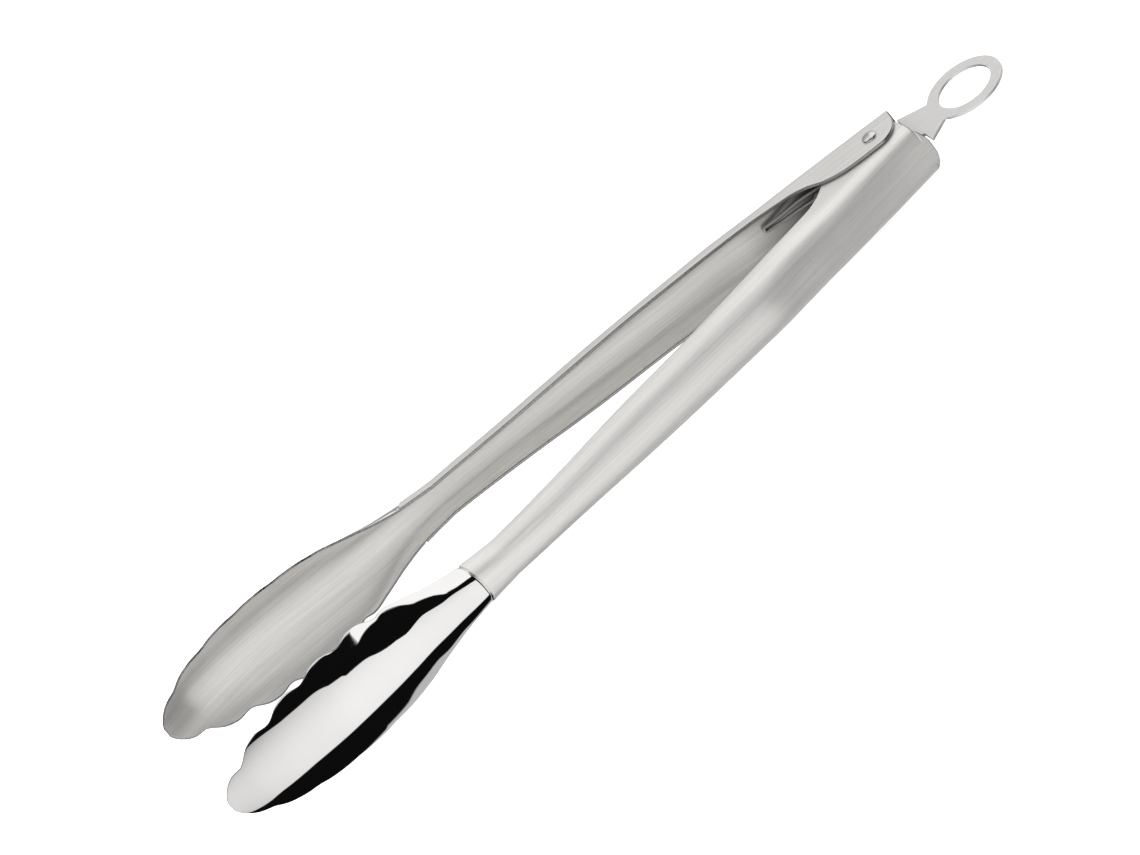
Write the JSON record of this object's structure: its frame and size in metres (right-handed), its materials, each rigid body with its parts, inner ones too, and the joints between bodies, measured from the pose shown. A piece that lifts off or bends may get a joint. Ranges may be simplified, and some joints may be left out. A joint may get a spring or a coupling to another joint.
{
  "type": "spring loaded locking kitchen tongs",
  "caption": "Stainless steel kitchen tongs: two sprung channel arms with scalloped spoon heads, riveted at one end round a pull-out lock plate with a hanging eye.",
  "frame": {"origin": "bottom centre of the bounding box, tongs lying on their side", "axes": "+X along the tongs towards the hanging eye, +Y from the front arm to the rear arm, +Z along the rivet towards its domed head"},
  "size_m": [0.2982, 0.0646, 0.0331],
  "materials": {
    "brushed_steel": "brushed lengthwise; polished outside the heads",
    "satin_steel": "fine satin",
    "rivet_steel": "polished",
    "spring_wire": "drawn wire"
  },
  "bodies": {
    "front": {"front_arm": "brushed_steel", "front_catch": "satin_steel", "torsion_spring": "spring_wire"},
    "rear": {"rear_arm": "brushed_steel", "rear_catch": "satin_steel"},
    "pivot": {"rivet": "rivet_steel", "sleeve_upper": "rivet_steel", "sleeve_lower": "rivet_steel"},
    "lock": {"lock_plate": "satin_steel"}
  },
  "joints": [
    {"name": "arm_hinge", "type": "hinge", "parent": "front", "child": "rear", "pos_m": [0.10688, 0, 0.01657], "axis": [0, 0, 1], "range_deg": [0, 11.2], "stiffness_Nm_per_rad": 0.6, "springref_deg": -28.65, "deforming": ["torsion_spring"]},
    {"name": "pivot_turn", "type": "hinge", "parent": "front", "child": "pivot", "pos_m": [0.10688, 0, 0.01657], "axis": [0, 0, 1], "range_deg": [0, 5.6]},
    {"name": "lock_slide", "type": "slide", "parent": "pivot", "child": "lock", "axis": [1, 0, 0], "range_m": [0, 0.0035]}
  ],
  "couplings": [
    {"joint": "pivot_turn", "follows": "arm_hinge", "ratio": 0.5}
  ]
}
